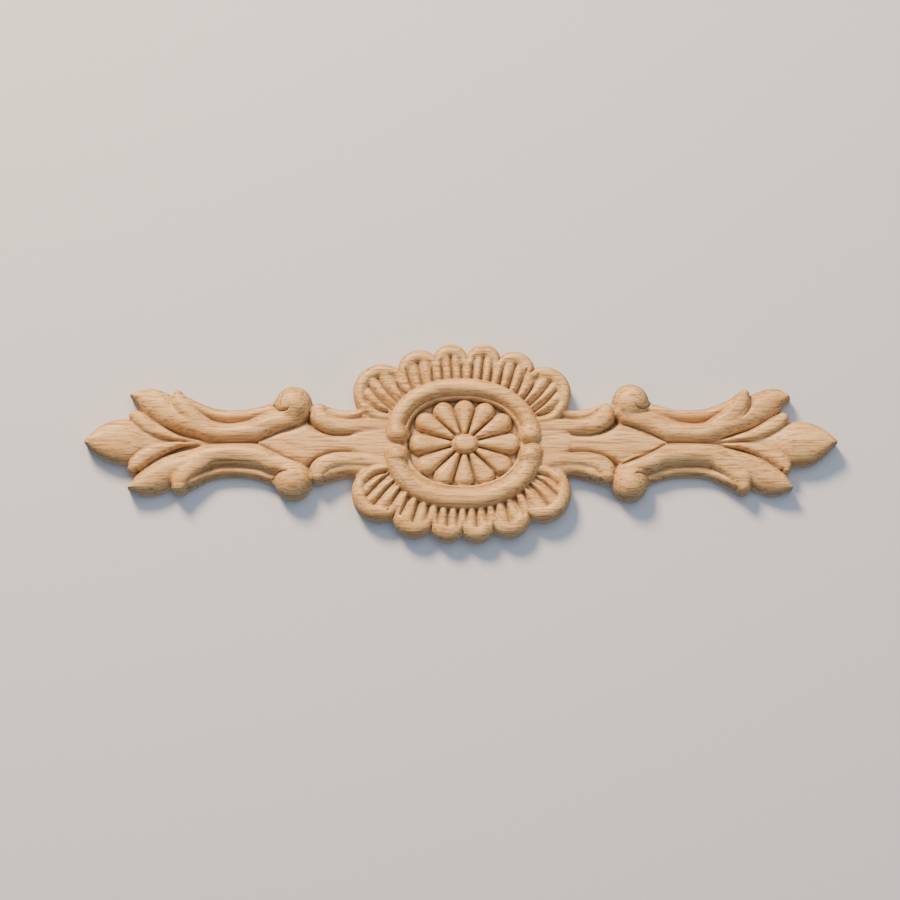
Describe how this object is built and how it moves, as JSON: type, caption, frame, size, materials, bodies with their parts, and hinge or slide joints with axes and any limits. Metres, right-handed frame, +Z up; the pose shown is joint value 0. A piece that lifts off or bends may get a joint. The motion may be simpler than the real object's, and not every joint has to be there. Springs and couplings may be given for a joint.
{
  "type": "carved crest applique",
  "caption": "Long carved wood onlay for furniture: a petalled rosette in an oval C-ring between two scalloped shells, with scrolls, leaves and a pointed bud to each side.",
  "frame": {"origin": "on the flat back, at the middle of the applique's length and height", "axes": "+X along the length to the viewer's right, +Z up, +Y out of the flat back into the surface it is fixed to, so the carving faces -Y"},
  "size_m": [0.3, 0.0124, 0.0798],
  "materials": {
    "bare_wood": "matte, bare and lightly sanded"
  },
  "bodies": {
    "root": {"carved_crest": "bare_wood"}
  },
  "joints": []
}
